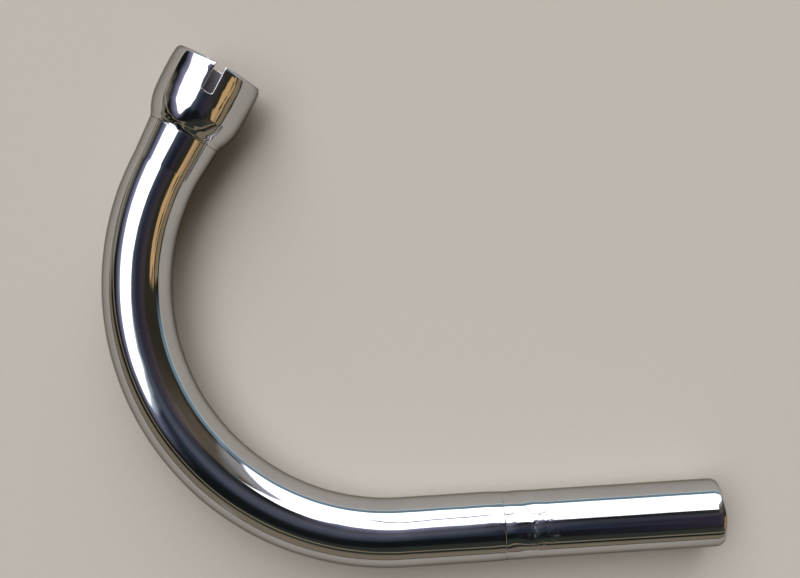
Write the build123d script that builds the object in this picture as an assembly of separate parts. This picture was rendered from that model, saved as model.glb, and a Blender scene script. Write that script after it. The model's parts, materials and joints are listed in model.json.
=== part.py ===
import os
from math import asin, cos, degrees, radians, sin

from build123d import *

# pipe
tube_od = 44.45
tube_wall = 1.65
bend_radius = 159.4
bend_angle = 122.0
tail_straight = 66.0
edge_break = 0.3

# head limb and the cup welded to it
head_straight = 25.0
head_flare = 3.4
neck_step = 0.4
socket_od = 60.2
socket_wall = 2.4
socket_length = 47.5
shoulder_length = 11.5
shoulder_radius = 18.0
barrel_at = 26.0
barrel_drop = 0.5
mouth_edge = 1.8

# slot in the cup, turned from straight up towards the inside of the bend
slot_width = 6.4
slot_length = 19.0
slot_corner = 1.5
slot_turn = 14.0

# outlet length
spigot_drop = 1.25
spigot_length = 138.6
spigot_edge = 0.6

tube_r = tube_od / 2
flare_r = tube_r + head_flare / 2
socket_r = socket_od / 2
spigot_od = tube_od - spigot_drop
bend_rad = radians(bend_angle)
bend_end = Vector(-bend_radius * sin(bend_rad), bend_radius * (1 - cos(bend_rad)), 0)
head_dir = Vector(-cos(bend_rad), sin(bend_rad), 0)
head_plane = Plane(origin=bend_end, x_dir=(0, 0, 1), z_dir=head_dir)
cup_plane = Plane(origin=bend_end + head_dir * head_straight, x_dir=(0, 0, 1), z_dir=head_dir)


def ring(od, wall):
    return Circle(od / 2) - Circle(od / 2 - wall)


def turned(edges):
    return revolve(Plane.XZ * make_face(edges), Axis.Z)


def make_bend_tube():
    section = Plane.YZ * ring(tube_od, tube_wall)
    straight = extrude(section, tail_straight)
    straight = chamfer(straight.faces().sort_by(Axis.X)[-1].outer_wire().edges(), edge_break)
    bend = revolve(section, Axis((0, bend_radius, 0), (0, 0, -1)), bend_angle)
    flare = turned(Polyline(
        (tube_r - tube_wall, 0), (tube_r, 0), (flare_r, head_straight),
        (flare_r - tube_wall, head_straight), close=True))
    return straight + bend + head_plane.location * flare


def make_head_socket():
    neck_in, neck_out, bore = flare_r - tube_wall, flare_r + neck_step, socket_r - socket_wall
    outside = FilletPolyline(
        (neck_out, 0), (socket_r - barrel_drop, shoulder_length), (socket_r, barrel_at),
        (socket_r - barrel_drop, socket_length), radius=(shoulder_radius, 0))
    inside = Polyline((bore, socket_length), (bore, shoulder_length), (neck_in, 0))
    mouth = Line(outside @ 1, inside @ 0)
    neck = Line(inside @ 1, outside @ 0)
    cup = turned([outside, mouth, inside, neck])
    cup = chamfer(cup.faces().sort_by(Axis.Z)[-1].outer_wire().edges(), mouth_edge)
    slot_plane = Plane(origin=(0, 0, socket_length), x_dir=(0, 1, 0), z_dir=(1, 0, 0))
    slot = extrude(slot_plane * RectangleRounded(slot_width, 2 * slot_length, slot_corner), socket_od)
    return cup_plane.location * (cup - Rot(0, 0, slot_turn) * slot)


def make_tail_tube():
    pipe = extrude(Plane.YZ.offset(tail_straight) * ring(spigot_od, tube_wall), spigot_length)
    return chamfer(pipe.faces().sort_by(Axis.X)[-1].outer_wire().edges(), spigot_edge)


# lies on the belly of the cup and the underside of the pipe, the outlet along +X
rest = cup_plane.origin + head_dir * barrel_at
lie = Rot(degrees(asin((socket_r - tube_r) / rest.Y)), 0, 0)
nodes = {
    "head_socket": lie * make_head_socket(),
    "bend_tube": lie * make_bend_tube(),
    "tail_tube": lie * make_tail_tube(),
}
box = Compound(list(nodes.values())).bounding_box()
middle = box.center()
home = Pos(-middle.X, -middle.Y, -box.min.Z)

os.makedirs("parts", exist_ok=True)
for name, shape in nodes.items():
    export_step(home * shape, f"parts/{name}.step")
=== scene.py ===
import json
from math import asin, atan2, cos, exp, hypot, pi, radians, sin

import bmesh
import bpy
from mathutils import Matrix, Vector, noise


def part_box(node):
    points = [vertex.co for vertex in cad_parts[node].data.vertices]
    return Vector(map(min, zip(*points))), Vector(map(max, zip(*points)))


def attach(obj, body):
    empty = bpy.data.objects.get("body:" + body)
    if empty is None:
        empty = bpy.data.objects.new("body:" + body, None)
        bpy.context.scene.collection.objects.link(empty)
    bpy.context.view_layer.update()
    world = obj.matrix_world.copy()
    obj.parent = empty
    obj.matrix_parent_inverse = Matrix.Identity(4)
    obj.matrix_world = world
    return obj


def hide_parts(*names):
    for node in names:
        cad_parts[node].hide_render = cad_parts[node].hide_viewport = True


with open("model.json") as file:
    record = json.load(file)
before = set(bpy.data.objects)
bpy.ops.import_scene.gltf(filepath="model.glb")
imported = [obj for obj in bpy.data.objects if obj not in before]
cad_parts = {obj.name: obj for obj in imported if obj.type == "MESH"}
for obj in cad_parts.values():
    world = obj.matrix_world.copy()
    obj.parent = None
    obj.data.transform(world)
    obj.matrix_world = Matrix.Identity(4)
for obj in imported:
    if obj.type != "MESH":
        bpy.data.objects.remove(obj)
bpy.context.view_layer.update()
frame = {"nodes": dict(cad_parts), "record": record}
scene = bpy.context.scene
scene.view_settings.view_transform = "Standard"
print("frame loaded, nodes:", ", ".join(sorted(frame["nodes"])))

weldGap = 1e-6  # points nearer than this become one
roundSegments, edgeSegments = 8, 3
creaseAngle = radians(38)  # sharper edges stay crisp


def setInputs(tree, node, inputs):
    for name, value in inputs.items():
        if isinstance(value, bpy.types.NodeSocket):
            tree.links.new(value, node.inputs[name])
        else:
            node.inputs[name].default_value = value


def addNode(tree, kind, inputs=None, **settings):
    node = tree.nodes.new(kind)
    for name, value in settings.items():
        setattr(node, name, value)
    setInputs(tree, node, inputs or {})
    return node


def reckon(tree, operation, *values):
    return addNode(tree, "ShaderNodeMath", dict(enumerate(values)), operation=operation).outputs[0]


def addNoise(tree, vector, scale, detail):
    inputs = {"Vector": vector, "Scale": scale, "Detail": detail}
    return addNode(tree, "ShaderNodeTexNoise", inputs).outputs[0]


def addBump(tree, height, distance):
    return addNode(tree, "ShaderNodeBump", {"Height": height, "Distance": distance}).outputs[0]


def remap(tree, value, low, high, toLow=0.0, toHigh=1.0, curve="LINEAR"):
    inputs = {"Value": value, "From Min": low, "From Max": high, "To Min": toLow, "To Max": toHigh}
    return addNode(tree, "ShaderNodeMapRange", inputs, interpolation_type=curve).outputs[0]


# inputs 6 and 7 and output 2 of a mix node are its colours
def mixTones(tree, factor, first, second):
    inputs = {"Factor": factor, 6: first, 7: second}
    return addNode(tree, "ShaderNodeMix", inputs, data_type="RGBA").outputs[2]


def newMaterial(name):
    material = bpy.data.materials.new(name)
    material.use_nodes = True
    tree = material.node_tree
    return material, tree, tree.nodes["Principled BSDF"]


def newObject(bm, name, materials):
    mesh = bpy.data.meshes.new(name)
    bm.to_mesh(mesh)
    bm.free()
    for material in materials:
        mesh.materials.append(material)
    made = bpy.data.objects.new(name, mesh)
    scene.collection.objects.link(made)
    return made


def finishPiece(bm, name, materials, slotName, *nodes):
    piece = newObject(bm, name, materials)
    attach(piece, "root")
    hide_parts(*nodes)
    print(name, len(piece.data.polygons), "faces")
    return piece


def newVerts(made):
    return [g for g in made if isinstance(g, bmesh.types.BMVert)]


def newEdges(made):
    verts = set(newVerts(made))
    return [g for g in made if isinstance(g, bmesh.types.BMEdge) and set(g.verts) <= verts]


def pullOut(bm, edges, step):
    made = bmesh.ops.extrude_edge_only(bm, edges=edges)["geom"]
    bmesh.ops.translate(bm, vec=step, verts=newVerts(made))
    return newEdges(made), newVerts(made)


def weldUp(bm):
    bmesh.ops.remove_doubles(bm, verts=bm.verts, dist=weldGap)
    bmesh.ops.recalc_face_normals(bm, faces=bm.faces)


# closed wall section in the XZ plane from (x, z, rounding) corners, cut fine enough to be shaped
def drawSection(bm, corners, gapAt):
    verts = [bm.verts.new((x, 0, z)) for x, z, rounding in corners]
    bm.faces.new(verts)
    for vert, (x, z, rounding) in zip(verts, corners):
        if rounding:
            bmesh.ops.bevel(bm, geom=[vert], offset=rounding, offset_type="OFFSET", segments=roundSegments,
                            profile=0.5, affect="VERTICES", material=-1)
    bmesh.ops.delete(bm, geom=bm.faces[:], context="FACES_ONLY")
    for edge in bm.edges[:]:
        cuts = int(edge.calc_length() / gapAt((edge.verts[0].co + edge.verts[1].co) / 2))
        if cuts:
            bmesh.ops.subdivide_edges(bm, edges=[edge], cuts=cuts)


def turnSection(bm, axis, steps):
    bmesh.ops.spin(bm, geom=bm.verts[:] + bm.edges[:], cent=(0, 0, 0), axis=axis, angle=2 * pi,
                   steps=steps, use_merge=True, use_duplicate=False)
    weldUp(bm)


def moveAlongNormals(bm, heightAt):
    bm.normal_update()
    moves = [vert.normal * heightAt(vert.co, vert.normal) for vert in bm.verts]
    for vert, move in zip(bm.verts, moves):
        vert.co += move


def unwrap(bm, coordsOf, radius):
    uv = bm.loops.layers.uv.new("along")
    for face in bm.faces:
        spots = [coordsOf(loop.vert.co) for loop in face.loops]
        wraps = max(s[1] for s in spots) - min(s[1] for s in spots) > pi
        for loop, (run, turn) in zip(face.loops, spots):
            loop[uv].uv = (run, (turn + 2 * pi if wraps and turn < 0 else turn) * radius)


# the first material goes outside and the second in the bore
def shadeFaces(bm, isBore):
    bm.normal_update()
    for face in bm.faces:
        face.smooth = True
        face.material_index = 1 if isBore(face.normal, face.calc_center_median()) else 0
    for edge in bm.edges:
        edge.smooth = edge.calc_face_angle(0) < creaseAngle


def ease(low, high, value):
    t = min(max((value - low) / (high - low), 0.0), 1.0)
    return t * t * (3 - 2 * t)


# 1 at the middle of a dent, 0 at its rim and beyond
def dentShape(away):
    away = min(away, 1)
    return (1 - away * away) ** 2


# each layer is a height, a size and a seed
def unevenness(co, layers):
    return sum(h * noise.noise(co / size + Vector((seed, 0, 0))) for h, size, seed in layers)


# lengthwise buffing lines, faint clouding, slow ripple and small pits, shared by the plated pieces
polish = {"roughness": 0.03,
          "lines": (1.0, 3.0), "clouds": (34.0, 4.0), "waves": (70.0, 1.0),  # noise scale, detail
          "lineStretch": (28, 2400, 1), "lineFrom": (0.52, 0.78), "lineDepth": 0.012,
          "cloudFrom": (0.4, 0.75),
          # pitless is the share of cells without a pit
          "pitScale": 210.0, "pitFrom": (0.05, 0.14), "pitless": 0.86, "pitRoughness": 0.2, "pitDepth": 0.5}


def makePolishMarks():
    tree = bpy.data.node_groups.new("polishMarks", "ShaderNodeTree")
    for name in ("Line Strength", "Haze", "Wave Height", "Pits"):
        tree.interface.new_socket(name, in_out="INPUT", socket_type="NodeSocketFloat")
    for name in ("Cloud", "Roughness", "Height"):
        tree.interface.new_socket(name, in_out="OUTPUT", socket_type="NodeSocketFloat")
    given = addNode(tree, "NodeGroupInput").outputs
    coords = addNode(tree, "ShaderNodeTexCoord").outputs
    stretch = {"Vector": coords["UV"], "Scale": polish["lineStretch"]}
    along = addNode(tree, "ShaderNodeMapping", stretch).outputs[0]
    line = remap(tree, addNoise(tree, along, *polish["lines"]), *polish["lineFrom"])
    cloud = remap(tree, addNoise(tree, coords["Object"], *polish["clouds"]), *polish["cloudFrom"])
    wave = addNoise(tree, coords["Object"], *polish["waves"])
    scatter = {"Vector": coords["Object"], "Scale": polish["pitScale"], "Randomness": 1.0}
    cells = addNode(tree, "ShaderNodeTexVoronoi", scatter).outputs
    rare = reckon(tree, "GREATER_THAN", cells["Color"], polish["pitless"])
    pit = reckon(tree, "MULTIPLY", remap(tree, cells["Distance"], *polish["pitFrom"], 1.0, 0.0), rare)
    pit = reckon(tree, "MULTIPLY", pit, given["Pits"])
    rough = reckon(tree, "MULTIPLY", line, given["Line Strength"])
    rough = reckon(tree, "MULTIPLY_ADD", cloud, given["Haze"], rough)
    rough = reckon(tree, "MULTIPLY_ADD", pit, polish["pitRoughness"], rough)
    rough = reckon(tree, "ADD", rough, polish["roughness"])
    height = reckon(tree, "MULTIPLY", wave, given["Wave Height"])
    height = reckon(tree, "MULTIPLY_ADD", line, -polish["lineDepth"], height)
    height = reckon(tree, "MULTIPLY_ADD", pit, -polish["pitDepth"], height)
    addNode(tree, "NodeGroupOutput", {"Cloud": cloud, "Roughness": rough, "Height": height})
    return tree


polishMarks = makePolishMarks()
chrome = {"clear": (0.565, 0.57, 0.575, 1), "cloudy": (0.52, 0.525, 0.54, 1),
          "edge": (0.40, 0.365, 0.32, 1),  # at a grazing angle, darker and warmer than plain chrome: painted shade on the silhouette edges
          "relief": 0.0001, "wornRoughness": 0.3,
          "pipeChrome": {"Line Strength": 0.05, "Haze": 0.03, "Wave Height": 0.2, "Pits": 0.12},
          "socketChrome": {"Line Strength": 0.04, "Haze": 0.03, "Wave Height": 0.3, "Pits": 0.15},
          "tailChrome": {"Line Strength": 0.06, "Haze": 0.035, "Wave Height": 0.2, "Pits": 0.3}}


def makeChrome(name, worn=False):
    material, tree, shader = newMaterial(name)
    marks = addNode(tree, "ShaderNodeGroup", chrome[name], node_tree=polishMarks).outputs
    rough = marks["Roughness"]
    if worn:
        rubbed = addNode(tree, "ShaderNodeAttribute", attribute_name="worn").outputs["Fac"]
        rough = reckon(tree, "MULTIPLY_ADD", rubbed, chrome["wornRoughness"], rough)
    # the grazing tint paints shade onto the silhouette edges
    setInputs(tree, shader, {"Metallic": 1.0, "Specular Tint": chrome["edge"], "Roughness": rough,
                             "Base Color": mixTones(tree, marks["Cloud"], chrome["clear"], chrome["cloudy"]),
                             "Normal": addBump(tree, marks["Height"], chrome["relief"])})
    return material


boreFinish = {"dark": (0.10, 0.092, 0.105, 1), "pale": (0.30, 0.285, 0.30, 1), "metallic": 0.85,
              "clouds": (90.0, 6.0), "roughness": (0.32, 0.55), "relief": 0.00012}


def makeBoreSteel():
    material, tree, shader = newMaterial("boreSteel")
    cloud = addNoise(tree, addNode(tree, "ShaderNodeTexCoord").outputs["Object"], *boreFinish["clouds"])
    tone = addNode(tree, "ShaderNodeValToRGB", {"Fac": cloud})
    tone.color_ramp.elements[0].color = boreFinish["dark"]
    tone.color_ramp.elements[1].color = boreFinish["pale"]
    setInputs(tree, shader, {"Metallic": boreFinish["metallic"], "Base Color": tone.outputs[0],
                             "Roughness": remap(tree, cloud, 0.0, 1.0, *boreFinish["roughness"]),
                             "Normal": addBump(tree, cloud, boreFinish["relief"])})
    return material


pipeChrome = makeChrome("pipeChrome")
socketChrome = makeChrome("socketChrome")
tailChrome = makeChrome("tailChrome", worn=True)
boreSteel = makeBoreSteel()
print("finishes made")

# the outlet runs along X, the bend lies in one plane, tipped a little by the socket's belly
pipe = {"radius": 0.022225, "wall": 0.00165, "straight": 0.066, "bendRadius": 0.1594,
        "bendAngle": radians(122), "limb": 0.025, "limbFlare": 0.0017}
mounts = {m["name"]: m for m in frame["record"]["mounts"]}
outlet = Vector(mounts["outlet_spigot"]["pos_m"])
headAxis = Vector(mounts["head_clamp"]["axis"])
tipAngle = asin(headAxis.z / sin(pipe["bendAngle"]))
bendStart = Vector((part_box("tail_tube")[0].x - pipe["straight"], outlet.y, outlet.z))
pipePlace = Matrix.Translation(bendStart) @ Matrix.Rotation(tipAngle, 4, "X")
bendEnd = Vector((-sin(pipe["bendAngle"]), 1 - cos(pipe["bendAngle"]), 0)) * pipe["bendRadius"]
limbDir = Vector((-cos(pipe["bendAngle"]), sin(pipe["bendAngle"]), 0))
limbIn = Vector((sin(pipe["bendAngle"]), cos(pipe["bendAngle"]), 0))  # towards the inside of the bend


# run along the pipe from the start of the bend, and turn round it from the top
def pipeCoords(co):
    turn = atan2(-co.x, pipe["bendRadius"] - co.y)
    if co.x >= 0:
        return co.x, atan2(co.y, co.z)
    if turn <= pipe["bendAngle"]:
        inward = pipe["bendRadius"] - hypot(co.x, co.y - pipe["bendRadius"])
        return -turn * pipe["bendRadius"], atan2(inward, co.z)
    beyond = co - bendEnd
    return -pipe["bendAngle"] * pipe["bendRadius"] - beyond.dot(limbDir), atan2(beyond.dot(limbIn), co.z)


bendSkin = {"segments": 144, "straightRings": 60, "bendSteps": 240, "limbRings": 20,
            "edge": 0.0006, "edgeAngle": radians(50),
            "uneven": ((0.00008, 0.034, 3.0), (0.000022, 0.011, 11.0)), "sink": 0.0001,
            # the dressed seam, fading out over seamEnd times its reach
            "seamDrop": 0.00022, "seamReach": 0.007, "seamEnd": 4,
            "seamRipple": 0.00016, "rippleAlong": 0.006, "rippleAcross": 3,
            # run, turn, size, depth
            "dings": ((-0.287, -48, 0.0012, 0.00010), (-0.202, -44, 0.0016, 0.00008),
                      (-0.105, 10, 0.0012, 0.00005))}


def bendHeight(co, normal):
    run, turn = pipeCoords(co)
    height = unevenness(co, bendSkin["uneven"]) - bendSkin["sink"]
    toSeam = pipe["straight"] - run
    if toSeam < bendSkin["seamEnd"] * bendSkin["seamReach"]:
        near = exp(-(toSeam / bendSkin["seamReach"]) ** 2)
        across = bendSkin["rippleAcross"]
        ripple = noise.noise(Vector((run / bendSkin["rippleAlong"], across * cos(turn), across * sin(turn))))
        height += near * (bendSkin["seamRipple"] * ripple - bendSkin["seamDrop"])
    for dingRun, dingTurn, size, depth in bendSkin["dings"]:
        away = hypot(run - dingRun, (turn - radians(dingTurn)) * pipe["radius"]) / size
        height -= depth * dentShape(away)
    return height


def makeBendPipe():
    bm = bmesh.new()
    facing = Matrix.Translation((pipe["straight"], 0, 0)) @ Matrix.Rotation(pi / 2, 4, "Y")
    bmesh.ops.create_circle(bm, cap_ends=False, segments=bendSkin["segments"], radius=pipe["radius"],
                            matrix=facing)
    edges, verts = bm.edges[:], bm.verts[:]
    for ring in range(bendSkin["straightRings"]):
        edges, verts = pullOut(bm, edges, (-pipe["straight"] / bendSkin["straightRings"], 0, 0))
    made = bmesh.ops.spin(bm, geom=verts + edges, cent=(0, pipe["bendRadius"], 0), axis=(0, 0, -1),
                          angle=pipe["bendAngle"], steps=bendSkin["bendSteps"], use_duplicate=False)
    edges = newEdges(made["geom_last"])
    for ring in range(1, bendSkin["limbRings"] + 1):
        edges, verts = pullOut(bm, edges, limbDir * pipe["limb"] / bendSkin["limbRings"])
        middle = bendEnd + limbDir * pipe["limb"] * ring / bendSkin["limbRings"]
        before = pipe["radius"] + pipe["limbFlare"] * (ring - 1) / bendSkin["limbRings"]
        grow = 1 + pipe["limbFlare"] / bendSkin["limbRings"] / before
        bmesh.ops.scale(bm, vec=(grow, grow, grow), space=Matrix.Translation(-middle), verts=verts)
    weldUp(bm)
    moveAlongNormals(bm, bendHeight)
    unwrap(bm, pipeCoords, pipe["radius"])
    for face in bm.faces:
        face.smooth = True
    bmesh.ops.transform(bm, matrix=pipePlace, verts=bm.verts)
    piece = finishPiece(bm, "bendPipe", (pipeChrome, boreSteel), "plated_tube", "bend_tube")
    wall = piece.modifiers.new("wall", "SOLIDIFY")
    wall.thickness = pipe["wall"]
    wall.offset = -1
    wall.material_offset = 1
    edge = piece.modifiers.new("edge", "BEVEL")
    edge.width = bendSkin["edge"]
    edge.segments = edgeSegments
    edge.limit_method = "ANGLE"
    edge.angle_limit = bendSkin["edgeAngle"]
    edge.harden_normals = True


tailSkin = {"steps": 240, "radius": 0.0216, "length": 0.13855, "boreEdge": 0.0002, "boreFacing": 0.3,
            # the rolled end: back from the end, in from the outside, rounding
            "rolled": ((0.0034, 0.0, 0.0014), (0.0013, 0.0004, 0.0009), (0.0, 0.00125, 0.0003)),
            # fine gaps near the seam, wide ones deeper than the skin
            "fine": 0.036, "fineGap": 0.0006, "gap": 0.0015, "skin": 0.0015, "boreGap": 0.005,
            "uneven": ((0.00005, 0.03, 5.0),),
            # waves beside the seam, full over the first share of their reach
            "seamWaves": ((0.00036, 0.011, 2.0),), "seamReach": 0.034, "seamFull": 0.3,
            # pitted patches, a dent and rubbed spots: run from the seam, turn, size
            "patches": ((0.022, 4, 0.013), (0.020, -30, 0.007)), "patchDepth": 0.00018, "patchGrain": 0.0018,
            "dent": (0.016, 44, 0.011), "dentDepth": 0.0003,
            "rubs": ((0.018, -6, 0.009), (0.030, -8, 0.009), (0.020, -19, 0.008), (0.019, -29, 0.005)),
            "rubLevel": 0.5}


# 0 at a spot's middle, 1 at its rim
def fromSpot(co, spot):
    run, turn, size = spot
    across = (atan2(co.y, co.z) - radians(turn)) * tailSkin["radius"]
    return hypot(co.x - pipe["straight"] - run, across) / size


def tailHeight(co, normal):
    if normal.y * co.y + normal.z * co.z < 0:  # bore
        return 0.0
    fromSeam = (co.x - pipe["straight"]) / tailSkin["seamReach"]
    height = unevenness(co, tailSkin["uneven"])
    height += unevenness(co, tailSkin["seamWaves"]) * (1 - ease(tailSkin["seamFull"], 1.0, fromSeam))
    for patch in tailSkin["patches"]:
        away = fromSpot(co, patch)
        if away < 1:
            height -= tailSkin["patchDepth"] * (1 - away) * abs(noise.noise(co / tailSkin["patchGrain"]))
    return height - tailSkin["dentDepth"] * dentShape(fromSpot(co, tailSkin["dent"]))


def makeTailPipe():
    bm = bmesh.new()
    start, end = pipe["straight"], pipe["straight"] + tailSkin["length"]
    outside, bore = tailSkin["radius"], tailSkin["radius"] - pipe["wall"]

    def gapAt(co):
        if co.z < outside - tailSkin["skin"]:
            return tailSkin["boreGap"]
        return tailSkin["fineGap"] if co.x < start + tailSkin["fine"] else tailSkin["gap"]

    def isBore(normal, middle):
        return normal.y * middle.y + normal.z * middle.z < -tailSkin["boreFacing"] * outside

    corners = [(start, outside, 0), (start + tailSkin["fine"], outside, 0)]
    corners += [(end - back, outside - down, rounding) for back, down, rounding in tailSkin["rolled"]]
    corners += [(end, bore, tailSkin["boreEdge"]), (start, bore, 0)]
    drawSection(bm, corners, gapAt)
    turnSection(bm, (1, 0, 0), tailSkin["steps"])
    moveAlongNormals(bm, tailHeight)
    unwrap(bm, pipeCoords, outside)
    worn = bm.verts.layers.float.new("worn")
    for vert in bm.verts:
        rub = max(1 - fromSpot(vert.co, spot) for spot in tailSkin["rubs"])
        vert[worn] = max(rub, 0) * (tailSkin["rubLevel"] + noise.noise(vert.co / tailSkin["patchGrain"]))
    shadeFaces(bm, isBore)
    bmesh.ops.transform(bm, matrix=pipePlace, verts=bm.verts)
    finishPiece(bm, "tailPipe", (tailChrome, boreSteel), "plated_tail", "tail_tube")


socketCup = {"length": 0.0475, "bore": 0.0277, "belly": 0.0301, "rimOut": 0.02905, "boreFacing": 0.92,
             "steps": 288, "gap": 0.0008, "footRings": 5, "footGap": 0.0004,
             "slotTurn": 14.0, "slotSteps": 10, "slotLength": 0.019, "slotCorner": 0.0015, "slotEdge": 0.0004,
             # how far from the bore the slot's inner edges end and its rounded outer lip begins
             "slotInner": 0.0002, "slotLip": 0.0005,
             # radius, height up the cup, rounding: the outside from neck to rim, then the inside back down
             "section": ((0.0243, 0.0, 0.00015), (0.02445, 0.0012, 0.0010), (0.0288, 0.0098, 0.0060),
                         (0.0301, 0.0260, 0.0080), (0.0297, 0.0430, 0.0025), (0.0291, 0.0460, 0.0016),
                         (0.0280, 0.0473, 0.0005), (0.0277, 0.0465, 0.0003), (0.0277, 0.0115, 0.0035),
                         (0.022275, 0.0, 0.0)),
             # the weld's ripple, and the heights between which it comes and goes
             "ripple": 0.00022, "rippleAcross": 5.0, "rippleUp": 0.0024, "rippleSeed": 7,
             "rippleComes": (0.0002, 0.0014), "rippleGoes": (0.0035, 0.0085),
             "waves": ((0.00007, 0.0065, 0.0), (0.00005, 0.02, 0.0)), "sink": 0.0001, "outFacing": 0.3}
cupMiddle = (socketCup["bore"] + socketCup["belly"]) / 2  # radius at the middle of the wall
socketPlace = pipePlace @ Matrix.Translation(bendEnd + limbDir * pipe["limb"]) @ Matrix(
    ((0, limbIn.x, limbDir.x), (0, limbIn.y, limbDir.y), (1, 0, 0))).to_4x4()


# opens the slot through the rim, rounds its two inner corners and its outer lip
def cutSlot(bm, foot, half):
    corner = socketCup["slotCorner"]

    def fromCorner(co):
        across = (atan2(co.y, co.x) - radians(socketCup["slotTurn"])) * cupMiddle
        return Vector((across, abs(across) - half + corner, corner - co.z + foot))

    def reach(edge):
        return [hypot(*v.co.xy) for v in edge.verts]

    gone = []
    for face in bm.faces:
        across, side, down = fromCorner(face.calc_center_median())
        if side < corner and down < corner and hypot(max(side, 0), max(down, 0)) < corner:
            gone.append(face)
    bmesh.ops.delete(bm, geom=gone, context="FACES")
    bounds = [e for e in bm.edges if e.is_boundary]
    for vert in {v for e in bounds for v in e.verts}:
        across, side, down = fromCorner(vert.co)
        if side > 0 and down > 0:
            fit = corner / hypot(side, down)
            turn = (side * fit - side) / cupMiddle * (1 if across > 0 else -1)
            bmesh.ops.rotate(bm, cent=(0, 0, 0), matrix=Matrix.Rotation(turn, 3, "Z"), verts=[vert])
            vert.co.z += down - down * fit
    inner, lipFrom = socketCup["bore"] + socketCup["slotInner"], socketCup["bore"] + socketCup["slotLip"]
    sides = [e for e in bounds if min(reach(e)) > socketCup["rimOut"] or max(reach(e)) < inner]
    lip = [e for e in bounds if min(reach(e)) > lipFrom]
    bmesh.ops.bridge_loops(bm, edges=sides)
    bmesh.ops.holes_fill(bm, edges=[e for e in bm.edges if e.is_boundary], sides=0)
    bmesh.ops.recalc_face_normals(bm, faces=bm.faces)
    bmesh.ops.bevel(bm, geom=lip, offset=socketCup["slotEdge"], offset_type="OFFSET", segments=edgeSegments,
                    profile=0.5, affect="EDGES", material=-1)
    leftOpen = sum(e.is_boundary for e in bm.edges)
    print("slot cut,", len(gone), "faces out,", len(lip), "lip edges,", leftOpen, "left open")


def socketHeight(co, normal):
    if normal.x * co.x + normal.y * co.y < socketCup["outFacing"] * hypot(*co.xy):
        return 0.0
    turn = atan2(co.y, co.x)
    weld = ease(*socketCup["rippleComes"], co.z) * (1 - ease(*socketCup["rippleGoes"], co.z))
    spot = Vector((cos(turn), sin(turn), 0)) * socketCup["rippleAcross"]
    spot += Vector((socketCup["rippleSeed"], 0, co.z / socketCup["rippleUp"]))
    height = socketCup["ripple"] * weld * noise.noise(spot) - socketCup["sink"]
    return height + unevenness(co, socketCup["waves"])


def makeHeadSocket():
    bm = bmesh.new()
    drawSection(bm, socketCup["section"], lambda co: socketCup["gap"])
    slotFoot = socketCup["length"] - socketCup["slotLength"]
    for ring in range(socketCup["footRings"]):
        bmesh.ops.bisect_plane(bm, geom=bm.verts[:] + bm.edges[:], plane_no=(0, 0, 1),
                               plane_co=(0, 0, slotFoot + ring * socketCup["footGap"]))
    step = 360 / socketCup["steps"]
    slotFrom = socketCup["slotTurn"] - socketCup["slotSteps"] * step / 2
    bmesh.ops.rotate(bm, cent=(0, 0, 0), matrix=Matrix.Rotation(radians(slotFrom), 3, "Z"), verts=bm.verts)
    turnSection(bm, (0, 0, 1), socketCup["steps"])
    print("socket turned,", len(bm.faces), "faces")
    cutSlot(bm, slotFoot, radians(socketCup["slotTurn"] - slotFrom) * cupMiddle)
    moveAlongNormals(bm, socketHeight)
    unwrap(bm, lambda co: (co.z, atan2(-co.y, co.x)), socketCup["bore"])

    def isBore(normal, middle):
        return normal.x * middle.x + normal.y * middle.y < -socketCup["boreFacing"] * hypot(*middle.xy)

    shadeFaces(bm, isBore)
    bmesh.ops.transform(bm, matrix=socketPlace, verts=bm.verts)
    finishPiece(bm, "headSocket", (socketChrome, boreSteel), "plated_socket", "head_socket")


floorSheet = {"size": 80.0, "roughness": 0.9, "grain": (260.0, 4.0),
              "tone": (0.50, 0.455, 0.385, 1), "speck": (0.475, 0.43, 0.36, 1)}


def makeFloor():
    material, tree, shader = newMaterial("floorPaper")
    grain = addNoise(tree, addNode(tree, "ShaderNodeTexCoord").outputs["Object"], *floorSheet["grain"])
    setInputs(tree, shader, {"Roughness": floorSheet["roughness"],
                             "Base Color": mixTones(tree, grain, floorSheet["tone"], floorSheet["speck"])})
    bm = bmesh.new()
    bmesh.ops.create_grid(bm, x_segments=1, y_segments=1, size=floorSheet["size"])
    newObject(bm, "floor", (material,))


# directions in the sky, and edges in them as direction, fade start, fade end
left, right, near, far = (-1, 0, 0), (1, 0, 0), (0, -1, 0), (0, 1, 0)
upwards, downwards = (0, 0, 1), (0, 0, -1)
lintel, belowLintel = (-0.71, 0.691, -0.137), (0.71, -0.691, 0.137)
jamb, foot, sill = (0.737, 0.133, 0.663), (0.339, 0.787, 0.516), (-0.304, 0.211, 0.929)
skirting, aboveSkirting = (-0.25, -0.45, -0.86), (0.25, 0.45, 0.86)
leftward, rightward, woodSide = (-0.75, -0.66, 0), (0.75, 0.66, 0), (-0.105, -0.995, 0)
limbSide, bendSide = (-0.53, 1.0, 0.0), (-0.45, 1.0, 0.0)
barEnd, spotMiddle = (0.3, 0.3, -0.9), (-0.94, 0.30, 0.17)
windowFrame = ((jamb, -0.03, 0.05), (foot, -0.04, 0.06), (sill, 0.0, 0.03), (upwards, 0.18, 0.23))
belowWire = windowFrame + ((belowLintel, -0.372, -0.364),)
onWire = ((lintel, 0.364, 0.372), (belowLintel, -0.410, -0.402))
woodEnds = ((woodSide, 0.0, 0.04), (rightward, 0.0, 0.05))
windowLight = (2.7, 2.72, 2.74)
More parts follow.
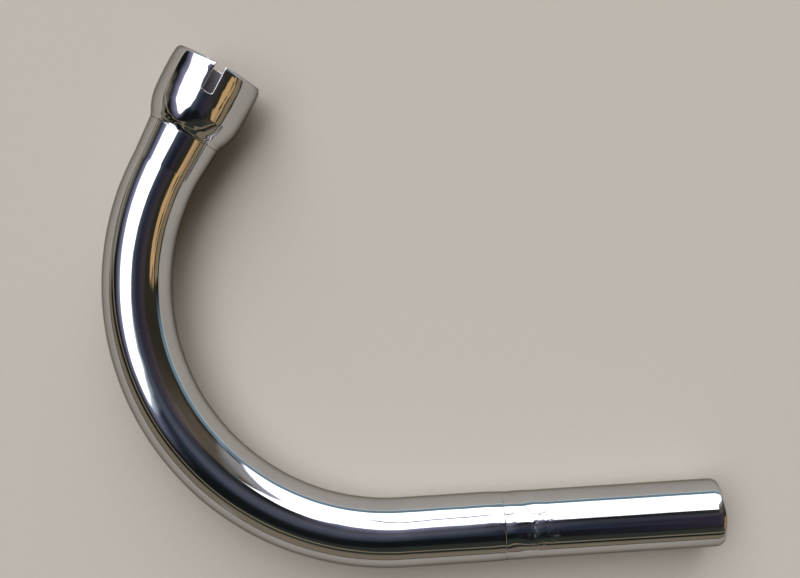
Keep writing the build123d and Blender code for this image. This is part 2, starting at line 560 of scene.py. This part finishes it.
studio = {
    "shade": (0.010, 0.012, 0.014), "grain": (9.0, 3.0),
    # each panel fills the part of the sky inside all its edges: light, raggedness, edges
    "panels": {
        "windowLeft": (windowLight, 0, ((limbSide, 0.0, 0.03), (left, 0.03, 0.06)) + belowWire),
        "windowMiddle": (windowLight, 0, ((bendSide, 0.345, 0.395), (right, -0.06, -0.03),
                                          (left, -0.14, -0.10)) + belowWire),
        "windowRight": (windowLight, 0, ((far, 0.34, 0.38), (right, 0.10, 0.14),
                                         (left, -0.34, -0.30)) + belowWire),
        "windowFar": (windowLight, 0, ((bendSide, 0.40, 0.44), (right, 0.30, 0.34)) + belowWire),
        "windowHigh": (windowLight, 0, ((lintel, 0.402, 0.410),) + windowFrame),
        "windowSide": (windowLight, 0, onWire + ((left, 0.25, 0.3),) + windowFrame),
        "windowEnd": (windowLight, 0, onWire + ((right, 0.06, 0.16),) + windowFrame),
        "windowVeil": ((0.30, 0.31, 0.34), 0.02, ((bendSide, 0.22, 0.36), (right, 0.24, 0.32),
                                                  (upwards, 0.25, 0.35))),
        "blueFringe": ((0.45, 0.52, 0.58), 0.01, ((limbSide, -0.04, 0.005),
                                                  (left, 0.03, 0.10)) + windowFrame),
        "coolSide": ((0.34, 0.34, 0.50), 0.03, ((lintel, -0.08, 0.14), (jamb, -0.32, 0.0),
                                                (foot, -0.25, 0.05), (upwards, 0.22, 0.26))),
        "coolSill": ((0.20, 0.31, 0.39), 0.02, ((downwards, -0.25, -0.21), (far, -0.10, 0.15),
                                                (right, -0.7, -0.5))),
        "coolUnder": ((0.13, 0.13, 0.165), 0.03, ((lintel, -0.36, -0.02), (upwards, 0.80, 0.92),
                                                  (near, -0.30, -0.05), (right, -0.22, -0.02))),
        "greyBar": ((0.06, 0.075, 0.09), 0.03, ((belowLintel, 0.085, 0.11), (lintel, -0.175, -0.14),
                                                (barEnd, -0.72, -0.6))),
        "brownDoor": ((0.11, 0.085, 0.062), 0.06, ((belowLintel, 0.01, 0.05), (lintel, -0.6, -0.2),
                                                   (far, 0.02, 0.27), (right, 0.27, 0.40),
                                                   (upwards, 0.25, 0.5))),
        "warmRight": ((0.034, 0.026, 0.013), 0.05, ((right, 0.2, 0.5), (upwards, 0.1, 0.25))),
        "plumSide": ((0.026, 0.018, 0.038), 0.06, ((belowLintel, 0.2, 0.3), (upwards, 0.75, 0.85),
                                                   (right, 0.10, 0.30))),
        "navySide": ((0.018, 0.028, 0.046), 0.03, ((near, -0.1, 0.05), (far, -0.35, -0.20),
                                                   (left, -0.30, -0.12), (upwards, 0.8, 0.9))),
        "greenSide": ((0.03, 0.034, 0.026), 0.03, ((near, 0.55, 0.68), (leftward, -0.1, 0.1),
                                                   (upwards, 0.4, 0.5))),
        "tanWood": ((0.76, 0.47, 0.21), 0.10, ((upwards, 0.45, 0.49), (downwards, -0.65, -0.61)) + woodEnds),
        "tanEdge": ((0.62, 0.40, 0.19), 0.07, ((upwards, 0.35, 0.38), (downwards, -0.45, -0.43)) + woodEnds),
        "tanFoot": ((0.28, 0.21, 0.125), 0.05, ((upwards, 0.10, 0.12), (downwards, -0.33, -0.30)) + woodEnds),
        "taupeWall": ((0.26, 0.215, 0.15), 0.02, ((skirting, 0.0, 0.12), (leftward, -0.02, 0.03),
                                                  (upwards, 0.07, 0.10))),
        "brownRail": ((0.25, 0.20, 0.12), 0.02, ((skirting, -0.16, -0.13), (aboveSkirting, 0.06, 0.09),
                                                 (leftward, -0.02, 0.03))),
        "paleSpot": ((0.20, 0.19, 0.16), 0, ((spotMiddle, 0.95, 0.99),)),
        "horizon": ((0.44, 0.41, 0.36), 0, ((downwards, -0.06, -0.04),)),
    },
}


def makeLight():
    world = bpy.data.worlds.new("studio")
    scene.world = world
    world.use_nodes = True
    tree = world.node_tree
    way = addNode(tree, "ShaderNodeTexCoord").outputs["Generated"]
    grain = addNoise(tree, way, *studio["grain"])

    def join(operation, inputs):
        return addNode(tree, "ShaderNodeVectorMath", inputs, operation=operation).outputs

    # 1 inside an edge, 0 outside it
    def fadeOver(ragged, direction, start, end):
        across = join("DOT_PRODUCT", {0: way, 1: direction})["Value"]
        if ragged:
            across = reckon(tree, "MULTIPLY_ADD", grain, 2 * ragged, across)
        return remap(tree, across, start + ragged, end + ragged, curve="SMOOTHSTEP")

    total = addNode(tree, "ShaderNodeCombineXYZ", dict(enumerate(studio["shade"]))).outputs[0]
    for light, ragged, edges in studio["panels"].values():
        cover = fadeOver(ragged, *edges[0])
        for edge in edges[1:]:
            cover = reckon(tree, "MULTIPLY", cover, fadeOver(ragged, *edge))
        lit = join("SCALE", {0: light, "Scale": cover})[0]
        total = join("ADD", {0: total, 1: lit})[0]
    tree.links.new(total, tree.nodes["Background"].inputs["Color"])


shot = {"place": (-0.002287, 0.008015, 0.669095), "roll": radians(-3.66), "lens": 45.0}


def makeCamera():
    camera = bpy.data.objects.new("camera", bpy.data.cameras.new("camera"))
    scene.collection.objects.link(camera)
    camera.location = shot["place"]
    camera.rotation_euler = (0, 0, shot["roll"])  # straight down
    camera.data.lens = shot["lens"]
    scene.camera = camera


makeBendPipe()
makeTailPipe()
makeHeadSocket()
makeFloor()
makeLight()
makeCamera()
print("studio set")
